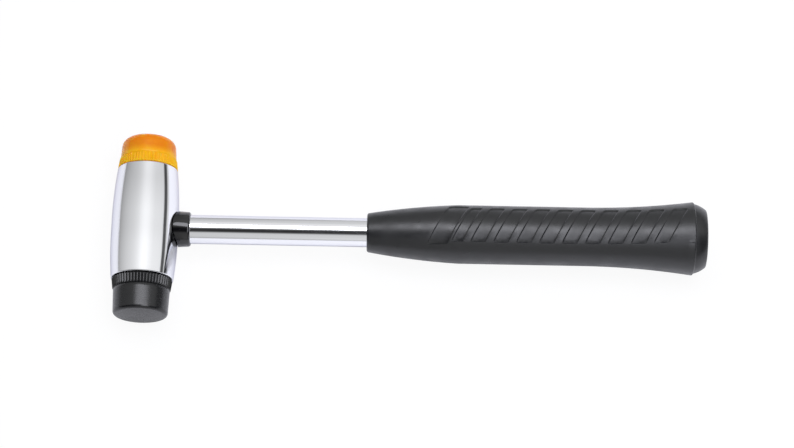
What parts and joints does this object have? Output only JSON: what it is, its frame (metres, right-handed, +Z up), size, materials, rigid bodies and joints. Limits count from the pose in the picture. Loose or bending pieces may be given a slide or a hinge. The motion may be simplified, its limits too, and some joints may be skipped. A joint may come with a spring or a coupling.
{
  "type": "body hammer",
  "caption": "Soft-face hammer: chromed barrel head with a hard amber and a softer black screw-in tip, on a chromed tube handle with a flared rubber grip.",
  "frame": {"origin": "centre of the bounding box on the surface that the hammer lies on", "axes": "+X along the handle towards the butt, +Y along the head towards the amber tip, +Z up from the surface that it lies on"},
  "size_m": [0.2988, 0.0942, 0.0368],
  "materials": {
    "chrome_plate": "bright chrome plate on steel",
    "zinc_steel": "zinc-plated steel",
    "amber_plastic": "translucent moulded amber",
    "black_tip_plastic": "satin moulded black",
    "black_gloss_plastic": "glossy moulded black",
    "plug_plastic": "plain moulded plastic",
    "grip_rubber": "matte moulded rubber"
  },
  "bodies": {
    "hammer": {"head_barrel": "chrome_plate", "ferrule": "black_gloss_plastic", "handle_tube": "chrome_plate", "tube_core": "zinc_steel", "head_pin": "zinc_steel", "tube_end_plug": "plug_plastic", "grip": "grip_rubber"},
    "amber_stud": {"amber_stud": "zinc_steel"},
    "amber_tip": {"amber_tip": "amber_plastic"},
    "black_stud": {"black_stud": "zinc_steel"},
    "black_tip": {"black_tip": "black_tip_plastic"}
  },
  "joints": [
    {"name": "amber_travel", "type": "slide", "parent": "hammer", "child": "amber_stud", "axis": [0, 1, 0], "range_m": [0, 0.012]},
    {"name": "amber_turn", "type": "hinge", "parent": "amber_stud", "child": "amber_tip", "pos_m": [-0.13256, 0.0307, 0.0168], "axis": [0, 1, 0], "range_deg": [0, 2880]},
    {"name": "black_travel", "type": "slide", "parent": "hammer", "child": "black_stud", "axis": [0, -1, 0], "range_m": [0, 0.012]},
    {"name": "black_turn", "type": "hinge", "parent": "black_stud", "child": "black_tip", "pos_m": [-0.13256, -0.0279, 0.0168], "axis": [0, -1, 0], "range_deg": [0, 2880]}
  ],
  "couplings": [
    {"joint": "amber_turn", "follows": "amber_travel", "rad_per_m": 4188.8},
    {"joint": "black_turn", "follows": "black_travel", "rad_per_m": 4188.8}
  ]
}
